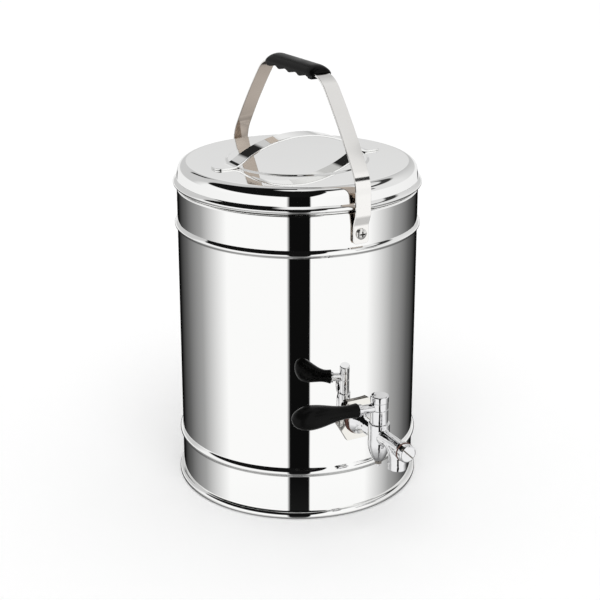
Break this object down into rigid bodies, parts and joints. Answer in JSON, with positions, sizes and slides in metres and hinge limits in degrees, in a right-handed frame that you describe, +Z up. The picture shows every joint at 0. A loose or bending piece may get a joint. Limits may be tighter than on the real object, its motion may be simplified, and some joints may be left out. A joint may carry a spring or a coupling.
{
  "type": "tea urn",
  "caption": "Insulated cylindrical steel tea urn with a lift-off lid, a strap bail with a finger grip, and a plug-cock tap with a bulb lever.",
  "frame": {"origin": "centre of the rolled foot on the table plane", "axes": "+Z up along the urn's axis; the tap points to -Y; the bail's pivot line runs along Y; the lid handle lies along X and the shut lever points to -X"},
  "size_m": [0.2584, 0.3535, 0.4521],
  "materials": {
    "polished_steel": "mirror-polished stainless steel",
    "satin_steel": "satin stainless steel strap",
    "vessel_steel": "fine brushed stainless steel",
    "tap_chrome": "chrome-plated cast brass",
    "screw_steel": "zinc-plated steel",
    "black_plastic": "moulded black phenolic",
    "boss_metal": "plated brass with a warm cast",
    "red_fibre": "red vulcanised fibre",
    "white_nylon": "moulded nylon",
    "silicone": "food-grade silicone",
    "foam": "cut polyurethane foam"
  },
  "bodies": {
    "urn": {"outer_shell": "polished_steel", "foot_ring": "polished_steel", "base_plate": "vessel_steel", "inner_vessel": "vessel_steel", "insulation": "foam", "tap_socket": "boss_metal", "boss_washer": "red_fibre", "tap_body": "tap_chrome", "end_washer": "red_fibre", "end_cap": "tap_chrome", "pivot_screws": "screw_steel", "pivot_washers": "white_nylon", "pivot_nuts": "screw_steel"},
    "tap_key": {"tap_plug": "tap_chrome", "plug_cap": "tap_chrome", "plug_washer": "screw_steel", "plug_nut": "screw_steel", "lever_stem": "tap_chrome", "lever_handle": "black_plastic"},
    "bail": {"bail_strap": "satin_steel", "grip_cover": "black_plastic", "grip_base": "black_plastic", "grip_screws": "screw_steel"},
    "lid": {"lid_shell": "polished_steel", "lid_liner": "vessel_steel", "lid_foam": "foam", "lid_gasket": "silicone", "lid_handle": "polished_steel"}
  },
  "joints": [
    {"name": "lever_turn", "type": "hinge", "parent": "urn", "child": "tap_key", "pos_m": [0, -0.1675, 0.1054], "axis": [0, 0, 1], "range_deg": [0, 90]},
    {"name": "bail_swing", "type": "hinge", "parent": "urn", "child": "bail", "pos_m": [0, 0, 0.3009], "axis": [0, 1, 0], "range_deg": [-105, 105]},
    {"name": "lid_lift", "type": "slide", "parent": "urn", "child": "lid", "axis": [0, 0, 1], "range_m": [0, 0.014]}
  ]
}
